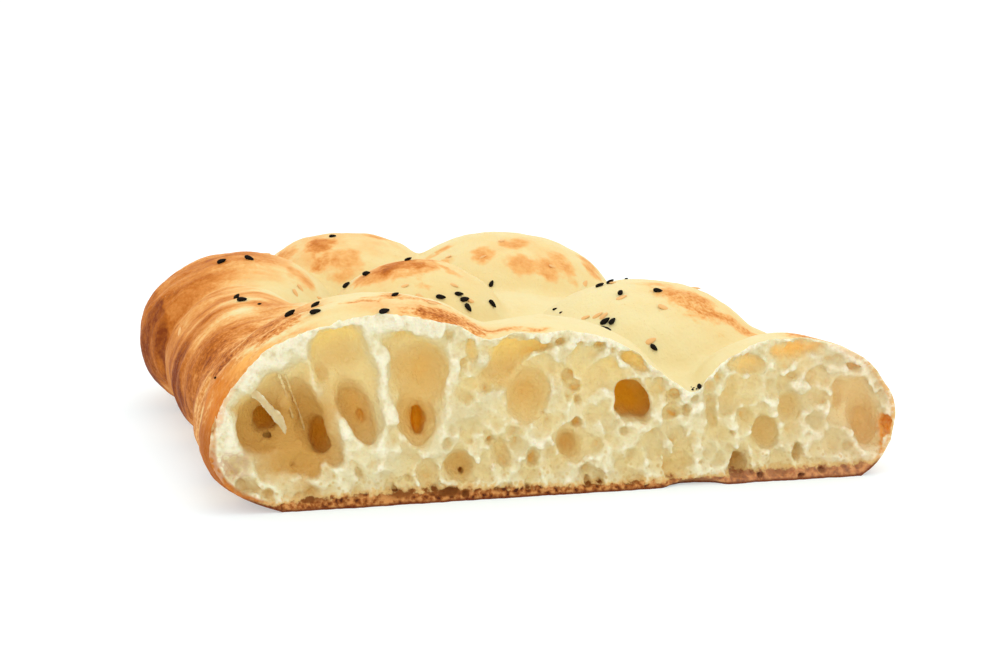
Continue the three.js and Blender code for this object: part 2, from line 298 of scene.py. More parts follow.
BUBBLES = {
    # x, z, width and height of the mouth, depth, and where not 0, lean to the right at the foot, set back
    "left cave": (
        (-72.7, 22.6, 12.3, 14.5, 11, 8, 3), (-70.2, 23.6, 9.5, 8, 6.5, 0, 9.5),
        (-70.1, 18.4, 3.6, 2.2, 2.4, -10, 8.4), (-68.3, 31.5, 9, 9, 7, 0, 2),
        (-60.6, 24.8, 7.6, 20.5, 11, 14, 3.5), (-57, 18, 5.2, 11, 7, 13, 8.5), (-63.5, 12.8, 13, 6, 7, 0, 2),
        (-65.6, 20, 8, 14, 9, 8, 2), (-62, 36, 5, 6, 5, 0, 1.5), (-54, 15.5, 4.5, 7.5, 5, 12),
        (-64.3, 11.2, 2.2, 1.1, 1.6, 15, 5), (-77, 8, 5.5, 3.5, 3, -25), (-79, 13.5, 5, 3.5, 2, -25),
        (-71.5, 5, 4, 3, 2.5), (-61.5, 6, 3.5, 2.5, 2), (-63.5, 4, 2.5, 2.5, 2.5), (-54.5, 8.5, 2, 2, 1.5),
        (-84.5, 25, 1.5, 8, 1.5, -12)),
    "second cave": (
        (-51.9, 41.4, 14, 13.5, 10, 0, 2), (-47.4, 24.8, 7.8, 20, 10.6, 20, 4),
        (-46, 22.4, 2, 3.8, 4.5, 15, 8.6), (-56.5, 36.5, 4, 7, 7, 0, 3), (-55.4, 28, 4.6, 11, 3.4, 16),
        (-53.3, 18.5, 3.5, 9, 3, 14), (-38.3, 18.5, 3.5, 6.5, 2.4, 6)),
    "third cave": (
        (-30.8, 34, 13.4, 17.5, 11, 0, 3), (-32.2, 22.8, 9.4, 17, 8.4, 10, 4),
        (-30.8, 19.8, 3.4, 9, 9, 4, 11), (-35.6, 43.6, 8, 4.5, 5, -12), (-35.4, 15.6, 2.6, 5, 2.4, 25)),
    "below the caves": (
        (-35, 9, 4.5, 9, 2.5), (-34.5, 6.5, 3, 3, 4), (-29.5, 7, 4.5, 8.5, 5, 20),
        (-27.5, 3.5, 2.5, 3, 4, 0, 2), (-47.4, 9, 1.8, 6, 2.6, 22), (-38.5, 7, 2, 2.5, 2),
        (-43, 5.5, 2, 2, 2)),
    "middle": (
        (-20.5, 8.5, 8, 9, 12, 0, 2), (-19.5, 6, 1.5, 2, 6, 0, 8), (-12.5, 15.5, 3, 2.5, 5, 20),
        (-14, 10, 3, 8, 2.5, 8), (-1, 10, 3.5, 6.5, 5.5, -15), (-13, 5, 2.5, 2, 2), (-11, 2.5, 2, 1.5, 2),
        (-8, 36.5, 8, 13, 10, -15, 3), (-13.5, 30.5, 2.2, 3.2, 5, 0, 2.5), (-2.5, 27.5, 11, 16, 8, -10),
        (-8, 21, 1.5, 2, 2.5), (2, 22, 1, 1, 2, 0, 4), (-20.5, 34, 1.5, 4, 2.5), (-17.5, 40, 3, 7.5, 3.5, 5),
        (3, 17.5, 1.5, 2, 2), (5, 32.5, 2.5, 9.5, 2.5, 8), (-23, 2.5, 4, 2.5, 4), (-25.5, 2, 2, 2, 3),
        (-19.5, 1.5, 2, 2, 3), (-2.5, 2.5, 1.5, 2, 3), (-7.5, 3, 1.5, 1.5, 2), (0.5, 5, 1, 1.5, 2),
        (-20, 26.5, 5.5, 8.5, 1.2), (-12.5, 23, 7, 5, 1.2)),
    "right of the middle": (
        (9, 13, 7, 8, 9), (11, 19, 2.8, 3.4, 6, 10, 2), (16, 12.5, 3.5, 4.5, 3.5), (8, 32, 2.5, 4, 3.5),
        (8.5, 27, 2, 3.5, 3, -10), (11, 25.5, 2, 3, 4), (11.5, 36.5, 4.5, 5, 4, -10),
        (26.5, 35.5, 10.5, 3.5, 5, -35), (16.5, 40, 4.5, 3, 3.5), (6, 41.5, 2.5, 2, 3),
        (11.5, 41, 2.5, 1.5, 2.5), (7, 38, 3, 4, 1.8), (20, 14.5, 4, 3, 2.5, -10), (26, 9, 3, 5, 4, -20),
        (32.5, 11.5, 5, 8, 4.5, -15), (35.5, 9.5, 2, 2.5, 3), (14, 3, 2.5, 3.5, 5), (17.5, 2.5, 2, 2, 4),
        (27, 2.5, 2, 2, 2.5), (36, 3, 1, 1.5, 1.5), (24, 1.5, 1.5, 1, 1.5), (32.5, 25, 3, 6.5, 2.5),
        (21, 10, 2, 3, 2, -10)),
    "right end": (
        (37.5, 25, 5.5, 4.5, 4.5), (37.5, 22.5, 2.5, 3, 4), (41, 21, 2, 4, 3.5), (40, 8, 2.5, 5, 4.5, -35),
        (48, 20, 3, 10.5, 4.5, 8), (49, 17, 2, 4.5, 3, 12, 3), (53, 24.5, 5, 12, 5.5, -18),
        (46, 13, 1.5, 3, 2.5, 8), (51, 12, 2, 2, 2), (54, 14, 1.5, 2, 3, 25), (47, 8.5, 2, 2, 2.5),
        (49.5, 6, 2.5, 2.5, 2), (45.5, 6.5, 1.5, 1, 1.5), (57.5, 16, 3, 5.5, 2.5, -15),
        (57.5, 10.5, 3, 4, 2.2), (65, 15, 3.5, 4, 6, 0, 4), (61.5, 12.5, 2, 2, 5, 0, 2),
        (56.2, 5.2, 5, 6.5, 10, -10), (67.5, 6, 3.5, 4.5, 4), (60, 2.5, 1.5, 1.5, 3), (62.5, 1.5, 2, 1.5, 4),
        (59.5, 32.5, 6.5, 4.5, 3.5), (66, 30, 2.5, 3, 2), (81.5, 33.5, 7.5, 2, 2.5, 8),
        (88, 31, 5, 2.5, 3.5, -15), (70.5, 29, 6, 3, 3.5, 15), (70.5, 20.5, 7, 8, 6.5),
        (79, 27.5, 7, 3.5, 2.5), (77, 22.5, 4.5, 5, 3.5), (93, 14.5, 7, 14, 12, 5, 3),
        (84, 16.5, 7, 5, 4, -10), (87, 8, 4.5, 5, 3.5), (89, 23.5, 6, 9, 6), (81, 11.5, 2.5, 1.5, 2, -20),
        (75.5, 12.5, 1.5, 1.5, 1.5), (73, 7.5, 3, 5.5, 5.5), (79, 4.5, 3.5, 2.5, 2.5),
        (81.5, 5.5, 1.5, 1, 1.5), (80, 2, 2.5, 2, 3.5), (69, 2, 2.5, 1.5, 3), (74, 1, 2.5, 1, 3),
        (98.5, 14, 3, 5.5, 4, 5), (75.5, 16, 2.5, 2.5, 1.5)),
    "behind the dark hole": ((30.5, 24, 8, 11, 6.5, 8, 8.5),),
    "under the base": ((42.2, -1, 18, 4.2, 3.6, 3),),
    "torn patch at the left": (
        (-80.5, 14.6, 1, 2.2, 1.2, -35), (-79, 14.8, 1, 1.6, 1.4, -20), (-77.6, 13.6, 1.2, 2, 1.6, 10),
        (-79.3, 12.6, 1.4, 1.2, 1.8), (-77.8, 11.4, 1, 1.8, 1.2, 30), (-76.2, 12.2, 0.9, 1.5, 1.2),
        (-80.2, 10.8, 0.9, 1.4, 1, -30), (-76.6, 10, 1.2, 0.9, 1.2)),
}
FINE = 3.2
LARGEST_FILL = 2.6
FINEST = 0.45
FILL_SIZES = 50
FILL_TRIES = 200
WALL = 0.3
MOUTH_HALF = 0.525
KNIFE_THICK = 8
BEFORE_THE_CUT = 2
CRUMB_CELLS = 0.5
WELD = 0.004
SMALL_TRIANGLES = 199000
dice = random.Random(7)


def cave(deep, outline):
    """A cave with that mouth: a shallow one is a bowl, a deep one goes straighter in."""
    bpy.ops.mesh.primitive_circle_add(vertices=len(outline), fill_type="NGON", radius=1)
    hollow = bpy.context.object
    for vertex, (x, z) in zip(hollow.data.vertices, outline):
        vertex.co = place_at(x, -BEFORE_THE_CUT, z)
    middle = sum((vertex.co for vertex in hollow.data.vertices), Vector()) / len(outline)
    edit()
    at, size = -BEFORE_THE_CUT, 1
    squareness = 1.6 + deep / 6
    for share in (0, 0.25, 0.5, 0.75, 0.92, 0.99):
        width = (1 - share ** squareness) ** (1 / squareness)
        bpy.ops.mesh.extrude_region_move(
            TRANSFORM_OT_translate={"value": (0, (share * deep - at) * MM, 0)})
        bpy.ops.transform.resize(value=(width / size, 1, width / size), center_override=middle)
        at, size = share * deep, width
    bpy.ops.mesh.select_all(action="SELECT")
    bpy.ops.mesh.quads_convert_to_tris(ngon_method="CLIP")
    bpy.ops.mesh.normals_make_consistent(inside=False)
    bpy.ops.object.mode_set(mode="OBJECT")
    return hollow


def bubble(ball, x, z, width, height, deep, lean, back):
    """A hollow of that mouth and depth: a ball drawn out, leaning, with its middle behind the cut face."""
    hollow = ball.copy()
    hollow.data = ball.data.copy()
    bpy.context.collection.objects.link(hollow)
    half_deep = deep / (2 if back else 1.3)
    middle = back if back else 0.3 * half_deep
    hollow.location = place_at(x, middle, z)
    hollow.rotation_euler = (0, math.radians(-lean), 0)
    hollow.scale = (width * MOUTH_HALF * MM, half_deep * MM, height * MOUTH_HALF * MM)
    return hollow


def foam(size):
    """A texture of packed cells about that many millimetres across, zero along the thick walls between."""
    texture = bpy.data.textures.new("foam", "VORONOI")
    texture.noise_scale = size * MM
    texture.weight_1 = -1
    texture.weight_2 = 1
    texture.contrast = 2
    texture.intensity = 1.42
    return texture


def foamy(x, y, z):
    """How open the foam is on the cut face: less by and under the caves, and closed next to the crust."""
    if not -1 < y < 3.5:
        return 0
    skin_there = crust_net.find_nearest(place_at(x, y, z))[3] / MM
    open_here = max((x + 26) / 6, (16 - z) / 4, 0.25)
    uneven = 0.62 + 0.75 * perlin.noise(Vector((x / 7, y / 7, z / 7)))
    near_surface = min(max((skin_there - 0.8) / 2.5, 0), 1) * min((3.5 - y) / 3, 1)
    closed_patch = math.hypot(x + 48, z - 8) / 6
    return min(open_here, closed_patch, 1) * min(max(uneven, 0.15), 1) * near_surface


def ragged(x, y, z):
    """How torn the cut face is: most of all in the last few millimetres under the upper crust."""
    if not -3 < y < 4 or z < 6:
        return 0.4
    skin_there = crust_net.find_nearest(place_at(x, y, z))[3] / MM
    return 0.4 + 0.6 * min(max((5 - skin_there) / 3, 0), 1)


large = [cave(deep, outline) for deep, outline in CAVES.values()]
bpy.ops.mesh.primitive_ico_sphere_add(subdivisions=4, radius=1)
big_ball = bpy.context.object
bpy.ops.mesh.primitive_ico_sphere_add(subdivisions=2, radius=1)
small_ball = bpy.context.object
bubbles = [(*sizes, 0, 0)[:7] for group in BUBBLES.values() for sizes in group]
measured = len(bubbles)
large += [bubble(big_ball, *sizes) for sizes in bubbles if min(sizes[2:4]) >= FINE]
large = join(large, "large bubbles")
for size, height in ((12, 2.4), (4, 0.8)):
    roughen(large, size, height)
large_net = BVHTree.FromObject(large, bpy.context.evaluated_depsgraph_get())
mouths = np.array([sizes for sizes in bubbles if min(sizes[2:4]) < FINE])


def room_for(x, z, radius):
    """Whether a bubble of that radius fits on the cut face between the others and inside the crust."""
    other_x, other_z, width, height, _, lean, _ = mouths.T
    lean = np.radians(lean)
    across = (x - other_x) * np.cos(lean) + (z - other_z) * np.sin(lean)
    up = (z - other_z) * np.cos(lean) - (x - other_x) * np.sin(lean)
    reach = radius + WALL
    if ((across / (width / 2 + reach)) ** 2 + (up / (height / 2 + reach)) ** 2 < 1).any():
        return False
    place = place_at(x, 0, z)
    for net, spare, way in ((large_net, radius * 0.9 + WALL, -1), (crust_net, radius * 0.8 + 0.9, 1)):
        nearest, outward, _, distance = net.find_nearest(place)
        if distance < spare * MM or (nearest - place).dot(outward) * way < 0:
            return False
    return True


for size in np.linspace(LARGEST_FILL, FINEST, FILL_SIZES):
    for _ in range(FILL_TRIES):
        x, z = dice.uniform(-86, 99), 1.2 + 48 * dice.random() ** 1.3
        radius = size * dice.uniform(0.8, 1)
        smooth_dough = x < -24 and z > 15 or x < -76 and z > 5
        if smooth_dough or radius > 0.55 + 0.1 * z or not room_for(x, z, radius):
            continue
        lean = dice.uniform(0, 20) if x < -20 else dice.uniform(-20, 20)
        drawn = dice.uniform(1, 1.2 + min(z, 30) / 45)
        deep = 2 * radius * dice.uniform(0.3, 0.8) * min(1.6 / radius, 1) ** 0.5
        bubbles.append((x, z, 2 * radius / math.sqrt(drawn), 2 * radius * math.sqrt(drawn), deep, lean, 0))
        mouths = np.vstack([mouths, bubbles[-1]])
filled = [bubble(big_ball, *sizes) for sizes in bubbles[measured:] if min(sizes[2:4]) >= FINE]

bpy.ops.mesh.primitive_cube_add(size=1, location=place_at(4, -KNIFE_THICK / 2, 26),
                                scale=(210 * MM, KNIFE_THICK * MM, 60 * MM))
cutter = join([large, bpy.context.object] + filled, "cutter")
run_together(cutter, CRUMB_CELLS)
weigh(cutter, "inside the caves", lambda x, y, z: (y - 0.5) / 2)
soften(cutter, 50, vertex_group="inside the caves")
soften(cutter, 6)
weigh(cutter, "cut face", foamy)
for size, deep in ((10, 8), (5, 6), (2.6, 3.5)):
    finish_with(cutter, "foam", "DISPLACE", texture=foam(size), strength=deep * MM, mid_level=0,
                texture_coords="GLOBAL", vertex_group="cut face")
soften(cutter, 5)
cutter.vertex_groups.clear()

fine = [bubble(small_ball, *sizes) for sizes in bubbles if min(sizes[2:4]) < FINE]
cutter = join([cutter] + fine, "cutter")
bpy.data.objects.remove(big_ball)
bpy.data.objects.remove(small_ball)
run_together(cutter, CRUMB_CELLS)
soften(cutter, 3)
weigh(cutter, "torn", ragged)
for size, height in ((8, 2.4), (3, 1.6), (1.4, 1.1)):
    roughen(cutter, size, height, vertex_group="torn")
cutter.vertex_groups.clear()

bread = dough
bread.name = "flatbread"
finish_with(bread, "open the crumb", "BOOLEAN", operation="DIFFERENCE", solver="MANIFOLD", object=cutter)
bpy.data.objects.remove(cutter)

# Shreds of crumb the knife pulled loose: a flat ribbon hanging across the left cave and two threads
# of thin film down its back wall.
SHREDS = (
    # how thin, and the middle line as (x, y from the cut, z, width)
    (0.7, ((-78, 4, 34, 4), (-74.8, 2, 32.6, 2.6), (-72.4, 1.3, 30.2, 2), (-70.2, 1.2, 27.6, 2.4),
           (-68.2, 1.3, 25, 3), (-66.9, 1.5, 22.6, 2.2), (-66.3, 1.7, 20, 0.3))),
    (0.5, ((-68.4, 2.6, 39, 0.8), (-66, 4.4, 31.5, 0.6), (-65, 5.2, 27.5, 0.6), (-63.8, 5.8, 23, 0.8))),
    (0.5, ((-67, 2.6, 40, 0.8), (-64.4, 4.8, 31, 0.6), (-62.4, 6.4, 25.5, 0.6), (-60.6, 8.5, 19, 0.8))),
)


def along_line(line, share):
    """The values of the line at that share of its length."""
    return [np.interp(share, np.linspace(0, 1, len(line)), column) for column in zip(*line)]


def shred(thin, line):
    """A thin strip of crumb along that line: a long ball with its rings moved into place."""
    bpy.ops.mesh.primitive_uv_sphere_add(segments=10, ring_count=16, radius=1)
    strip = bpy.context.object
    for vertex in strip.data.vertices:
        share = math.acos(max(-1, min(1, vertex.co.z))) / math.pi
        x, y, z, width = along_line(line, share)
        ahead, behind = along_line(line, share + 0.02), along_line(line, share - 0.02)
        way = Vector((ahead[0] - behind[0], 0, ahead[2] - behind[2])).normalized()
        sideways = Vector((way.z, 0, -way.x))
        around = Vector((vertex.co.x, vertex.co.y, 0))
        if around.length > 1e-4:
            around.normalize()
        off = sideways * around.x * width / 2 + Vector((0, around.y * thin / 2, 0))
        vertex.co = place_at(x, y, z) + off * MM
    return strip


shreds = join([shred(thin, line) for thin, line in SHREDS], "shreds")
run_together(shreds, 0.35)
roughen(shreds, 2, 0.8)
shred_net = BVHTree.FromObject(shreds, bpy.context.evaluated_depsgraph_get())
finish_with(bread, "hang the shreds", "BOOLEAN", operation="UNION", solver="MANIFOLD", object=shreds)
bpy.data.objects.remove(shreds)

# The bread stays one closed piece: crumbs cut loose and corners that no longer turn are taken away.
pick(bread)
edit()
bpy.ops.mesh.remove_doubles(threshold=WELD * MM)
net = bmesh.from_edit_mesh(bread.data)
bmesh.ops.dissolve_verts(net, verts=[vertex for vertex in net.verts if len(vertex.link_edges) == 2])
bmesh.update_edit_mesh(bread.data)
bpy.ops.mesh.select_all(action="SELECT")
bpy.ops.mesh.separate(type="LOOSE")
bpy.ops.object.mode_set(mode="OBJECT")
parts = bpy.context.selected_objects
bread = max(parts, key=lambda part: len(part.data.vertices))
for part in parts:
    if part is not bread:
        bpy.data.objects.remove(part)
bread.name = "flatbread"
count = sum(len(face.vertices) - 2 for face in bread.data.polygons)
if count > SMALL_TRIANGLES:
    finish_with(bread, "thin out", "DECIMATE", ratio=SMALL_TRIANGLES / count)
pick(bread)
bpy.ops.object.shade_smooth_by_angle(angle=math.radians(50))

# ---------------------------------------------------------------- browning
# Where the oven coloured the crust: patches on the tops of the pillows, the whole left side, and
# the base that lay on the hot stone; the tucked-under left foot is darkened further by painted shade.
# Each patch is a soft ellipse, broken up in the finish.
TOASTED = {
    # name: x, y, half width, half length, strength, turn where not 0
    "middle pillow, crest": (-23.5, 83.5, 13, 7.4, 0.74),
    "middle pillow, right": (-18.5, 72.5, 3.5, 2, 0.4),
    "middle pillow, far right": (-15, 88, 7, 2.5, 0.45),
    "middle pillow, streak": (-10.2, 82, 5, 1.8, 0.42, -29),
    "front edge": (-23, 4, 14, 6.5, 0.68, 8),
    "front edge, core": (-28, 2.5, 7, 3.5, 0.6, 15),
    "behind the front edge": (-32, 14, 14, 2.4, 0.5, 3),
    "flakes behind it": (-45, 10, 6, 1.6, 0.46),
    "more flakes": (-34, 18, 5, 1.8, 0.5),
    "flakes over the middle": (-29, 68, 9, 1.6, 0.46, 3),
    "flakes in the dip": (-8, 80, 4, 3, 0.3),
    "front left edge": (-67, 8, 8, 4.5, 0.62, 20),
    "front left edge, far side": (-69, 40, 6, 6, 0.5),
    "front left streak": (-62, 14, 11, 2.2, 0.5),
    "back left pillow, top": (-41.4, 141.5, 6.5, 6.5, 0.6),
    "back left pillow, spot": (-42.4, 130.4, 4, 4.2, 0.55),
    "back left pillow, front": (-35.5, 130.5, 9, 8.5, 0.34),
    "back left pillow, foot": (-52, 105, 5.5, 8, 0.34),
    "back left pillow, right": (-21.7, 149.8, 7, 3.5, 0.4),
    "back left pillow, rim": (-53, 146, 6, 9, 0.42),
    "between the back pillows": (-3.8, 139.3, 8, 2.2, 0.32),
    "back right pillow, foot": (-1.7, 130, 4.5, 2.6, 0.34),
    "back right pillow, left": (10, 126.5, 4.5, 6, 0.42),
    "back right pillow, top": (22, 132, 7, 4.5, 0.36),
    "back right pillow, front": (21.5, 121, 7.5, 5.5, 0.34, -10),
    "back right pillow, middle": (29, 120.5, 6, 6.5, 0.36, 20),
    "back right pillow, right": (36, 124, 5, 8, 0.38, 25),
    "back right pillow, rim": (47, 132, 4.5, 7, 0.4),
    "right pillow, crest": (54.5, 41, 12.5, 8, 0.44, -22),
    "right pillow, edge": (66, 38, 11, 3.5, 0.38, -12),
    "right pillow, left": (46, 52, 7, 3, 0.3),
    "front middle": (-1, 2.5, 5, 2.2, 0.45),
    "front middle, line": (-8, 5, 9, 1.3, 0.36, -6),
    "front right": (76, 4, 10, 6, 0.4),
    "right end": (99, 3, 9, 12, 0.5),
}
TINTED = {
    # name: x, y, half width, half length, tone of the broad soft colour, turn where not 0
    "back left pillow": (-42, 142, 24, 22, 0.2),
    "back left pillow, right": (-24, 145, 18, 18, 0.17),
    "back right pillow": (26, 128, 26, 20, 0.15),
    "left corner": (-90, 108, 22, 34, 0.66),
    "left corner, dark edge": (-103, 98, 15, 44, 0.86),
    "left corner, top": (-76, 118, 22, 22, 0.69),
    # the left foot's tone is its browning plus painted shade on its tucked-under lower side
    "left foot, browned and in painted shade": (-98, 60, 15, 48, 0.95, 6),
    "left flank": (-86, 34, 19, 44, 0.66, 8),
    "left shoulder": (-71, 30, 15, 38, 0.46, 4),
    "left shoulder, inner side": (-64, 62, 9, 16, 0.53),
    "middle": (-22, 84, 28, 20, 0.17),
    "middle, crest": (-24, 83.5, 13, 7, 0.44),
    "front left": (-30, 5, 24, 10, 0.22),
    "back rim": (14, 194, 90, 18, 0.43),
    "right rim": (103, 96, 19, 74, 0.36, 4),
    "back right corner": (72, 170, 30, 20, 0.36, -30),
    "right pillow": (62, 42, 22, 16, 0.14, -20),
}


def soft_step(low, high, value):
    """Rises smoothly from 0 at low to 1 at high."""
    share = np.clip((value - low) / (high - low), 0, 1)
    return share * share * (3 - 2 * share)


def rows(items, name, width=3, kind=float):
    """That property of all the items, as the rows of an array."""
    values = np.zeros(len(items) * width, kind)
    items.foreach_get(name, values)
    return values.reshape(-1, width)


x, y, z = rows(bread.data.vertices, "co").T / MM
y = y - cut_y / MM


def marks(table, outer, inner):
    """The shape of the table's patches at each point, 0 to 1, and the tone of the strongest one."""
    shape, tone = np.zeros(len(x)), np.zeros(len(x))
    for patch in table.values():
        px, py, half_width, half_length, strength, turn = (*patch, 0)[:6]
        angle = math.radians(turn)
        across = (x - px) * math.cos(angle) + (y - py) * math.sin(angle)
        along = (y - py) * math.cos(angle) - (x - px) * math.sin(angle)
        distance = np.sqrt((across / half_width) ** 2 + (along / half_length) ** 2)
        here = soft_step(outer, inner, distance)
        tone = np.where(here * strength > shape * tone, strength, tone)
        shape = np.where(here * strength >= shape * tone, here, shape)
    return shape, tone


def paint(name, values):
    """Keeps these values on the bread's points under that name for its finish."""
    layer = bread.data.attributes.new(name, "FLOAT", "POINT")
    layer.data.foreach_set("value", np.asarray(values, np.float32))


shape, tone = marks(TOASTED, 1.5, 0.2)
paint("patch", shape)
paint("patch tone", tone)
shape, tone = marks(TINTED, 1.6, 0.2)
tint = np.maximum(shape * tone, 0.5 * soft_step(-58, -84, x) * soft_step(150, 120, y))
glaze_end = 7 - 0.8 * (x + 76)
pale_line = soft_step(-66, -72, x) * soft_step(1.8, 0.6, np.abs(y - glaze_end - 2))
tint = tint * (1 - 0.55 * pale_line)
glaze = soft_step(-66, -71, x) * soft_step(1, -1.5, y - glaze_end) * soft_step(14, 20, z)
low_rim = soft_step(-62, -70, x) * soft_step(14, 7, y) * soft_step(24, 17, z)
tint = np.maximum(tint, 0.62 * low_rim)
glaze = np.maximum(glaze, low_rim)
paint("toast", np.maximum(tint, 0.95 * soft_step(5.5, 0.6, z)))
paint("glaze", glaze)
calmer = 1 - 0.3 * soft_step(60, 95, y)
paint("streaky", soft_step(-44, -70, x) * soft_step(160, 120, y) * (1 - 0.8 * glaze) * calmer)
paint("grainy", 0.3 + 0.7 * soft_step(70, 15, y))


def ridges(piece, rounds):
    """How far each point stands out of its softened surroundings in mm, below zero in the hollows."""
    first, second = rows(piece.data.edges, "vertices", 2, int).T
    points, outward = (rows(piece.data.vertices, name) for name in ("co", "normal"))
    around = np.bincount(first, minlength=len(points)) + np.bincount(second, minlength=len(points))
    soft = points.copy()
    for _ in range(rounds):
        total = np.zeros_like(soft)
        for axis in range(3):
            total[:, axis] = (np.bincount(first, soft[second, axis], len(points))
                              + np.bincount(second, soft[first, axis], len(points)))
        soft = 0.5 * soft + 0.5 * total / around[:, None]
    return ((points - soft) * outward).sum(axis=1) / MM


paint("ridge", ridges(bread, 24))
skin = np.array([crust_net.find_nearest(vertex.co)[3] / MM for vertex in bread.data.vertices])
paint("skin", skin)
loose = np.array([shred_net.find_nearest(vertex.co)[3] < 0.05 * MM for vertex in bread.data.vertices])
middle = np.zeros(len(x))
for _, line in SHREDS:
    for share in np.linspace(0, 1, 60):
        line_x, _, line_z, width = along_line(line, share)
        middle = np.maximum(middle, 1 - np.hypot(x - line_x, z - line_z) * 2 / width)
paint("shred", loose * soft_step(0, 0.5, middle))


def new_finish(name):
    """A new material, with the tree that its nodes are put into and its shader."""
    finish = bpy.data.materials.new(name)
    finish.use_nodes = True
    return finish, finish.node_tree, finish.node_tree.nodes["Principled BSDF"]


def feed(node, sockets):
    """Gives the node's inputs those values, each a plain value or another node's output."""
    for key, value in sockets.items():
        if isinstance(value, bpy.types.NodeSocket):
            tree.links.new(value, node.inputs[key])
        else:
            node.inputs[key].default_value = value


def put(kind, sockets, **settings):
    """Puts a node into the tree of the finish being made, and gives its outputs."""
    node = tree.nodes.new(kind)
    for key, value in settings.items():
        setattr(node, key, value)
    feed(node, sockets)
    return node.outputs


def mapped(scale, shift=(0, 0, 0)):
    """The place on the bread in metres, times the scale and plus the shift of each axis."""
    place = put("ShaderNodeTexCoord", {})["Object"]
    return put("ShaderNodeMapping", {"Vector": place, "Scale": scale, "Location": shift})[0]


def position():
    """The place on the bread in millimetres: across, back from the cut and up from the table."""
    return put("ShaderNodeSeparateXYZ", {0: mapped([1 / MM] * 3, (0, -cut_y / MM, 0))})


def noise(size, detail=3, stretch=(1, 1, 1)):
    """Noise from 0 to 1 with lumps of that many millimetres, drawn out along each axis by stretch."""
    spaced = mapped([1 / way for way in stretch])
    return put("ShaderNodeTexNoise", {"Vector": spaced, "Scale": 1 / (size * MM), "Detail": detail})[0]


def number(name):
    """The piece's own value of that name at each point."""
    return put("ShaderNodeAttribute", {}, attribute_name=name)["Fac"]


def maths(operation, first, second):
    """A sum, difference or other operation on two numbers."""
    return put("ShaderNodeMath", {0: first, 1: second}, operation=operation)[0]


def step(value, low, high):
    """Rises smoothly from 0 at low to 1 at high, or falls where low is the larger."""
    if low > high:
        return maths("SUBTRACT", 1, step(value, high, low))
    return put("ShaderNodeMapRange", {"Value": value, "From Min": low, "From Max": high},
               interpolation_type="SMOOTHSTEP")[0]


def product(*factors):
    """The factors multiplied, each a number or a step given as (value, low, high)."""
    result, *rest = (step(*factor) if isinstance(factor, tuple) else factor for factor in factors)
    for factor in rest:
        result = maths("MULTIPLY", result, factor)
    return result


def plus(value, *factors):
    """The value with the product of the factors added to it."""
    return maths("ADD", value, product(*factors))


def ramp(value, stops):
    """A colour that follows a number, from a list of (number, colour)."""
    node = tree.nodes.new("ShaderNodeValToRGB")
    while len(node.color_ramp.elements) < len(stops):
        node.color_ramp.elements.new(0.5)
    for element, (at, colour) in zip(node.color_ramp.elements, stops):
        element.position = at
        element.color = (*colour, 1)
    feed(node, {"Fac": value})
    return node.outputs["Color"]


def blend(first, second, *shares):
    """The first colour turned into the second as far as the product of the shares lets it."""
    first, second = ((*colour, 1) if isinstance(colour, tuple) else colour for colour in (first, second))
    return put("ShaderNodeMix", {0: product(*shares), 6: first, 7: second}, data_type="RGBA")[2]


def relief(height, strength, most, **under):
    """Fine relief of up to that many millimetres, over the relief under it."""
    return put("ShaderNodeBump", {"Height": height, "Strength": strength, "Distance": most * MM, **under})[0]


BAKED = (
    # how toasted, and its colour
    (0.00, (0.76, 0.65, 0.34)),
    (0.14, (0.76, 0.59, 0.27)),
    (0.32, (0.78, 0.42, 0.14)),
    (0.52, (0.66, 0.26, 0.06)),
    (0.76, (0.47, 0.135, 0.015)),
    (1.00, (0.21, 0.042, 0.006)),
)
FRECKLES = (0.62, 0.4, 0.16)
GLAZE, GLAZE_NEAR_THE_CUT = (0.66, 0.2, 0.016), (0.88, 0.43, 0.1)
GLAZE_STREAKS, GLAZE_LOW_DOWN = (0.54, 0.13, 0.008), (0.4, 0.1, 0.004)
crust, tree, shader = new_finish("baked crust")
across, _, up = position()
toasted, streaky, grainy, edge = (number(name) for name in ("toast", "streaky", "grainy", "patch"))

# The soft broad colour and the patches with their broken edges, both unevenly browned.
coarse, fine, grain = (plus(noise(size, 5), -0.5) for size in (5, 1.8, 0.9))
fine, grain = product(fine, grainy), product(grain, grainy)
edge = plus(plus(edge, coarse, 0.8), fine, 0.7)
toasted = maths("MAXIMUM", toasted, product(number("patch tone"), (edge, 0, 1.1)))
brown = step(toasted, 0.1, 0.5)
toasted = plus(toasted, plus(noise(10), -0.5), 0.4, (streaky, 0.6, 0.1), (toasted, 0.06, 0.2))
for size, strength in ((9, 1.3), (3.4, 0.62)):
    streaks = plus(noise(size, 4, (4, 1, 3)), -0.5)
    toasted = plus(toasted, streaks, strength, streaky)
for shift, strength in ((coarse, 0.35), (fine, 0.55), (grain, 0.85)):
    toasted = plus(toasted, shift, strength, brown)
toasted = plus(toasted, plus(noise(7, 6), -0.45), 0.22)

# The orange glaze down the left end, wiped thin in streaks and darker at its foot.
low_down = step(up, 28, 19)
kept = maths("MAXIMUM", step(plus(streaks, coarse, 0.6), -0.3, 0.14), product(low_down, 0.9))
glaze = blend(GLAZE, GLAZE_NEAR_THE_CUT, (across, -84, -74))
glaze = blend(glaze, GLAZE_STREAKS, (noise(3.5, 4, (2.5, 1, 2)), 0.42, 0.66), 0.6)
glaze = blend(glaze, GLAZE_LOW_DOWN, low_down)
colour = blend(ramp(toasted, BAKED), glaze, number("glaze"), kept)
colour = blend(colour, FRECKLES, (noise(1.1, 2), 0.68, 0.76), 0.35)
surface = relief(noise(1.1, 6), 0.6, 0.45)
surface = relief(product(streaks, streaky), 0.6, 1.2, Normal=surface)
surface = relief(noise(4.5), 0.35, 1.0, Normal=surface)
feed(shader, {"Base Color": colour, "Normal": surface, "Roughness": 0.55, "Specular IOR Level": 0.04,
              "Subsurface Weight": 0.12, "Subsurface Radius": (2, 1, 0.4), "Subsurface Scale": MM})

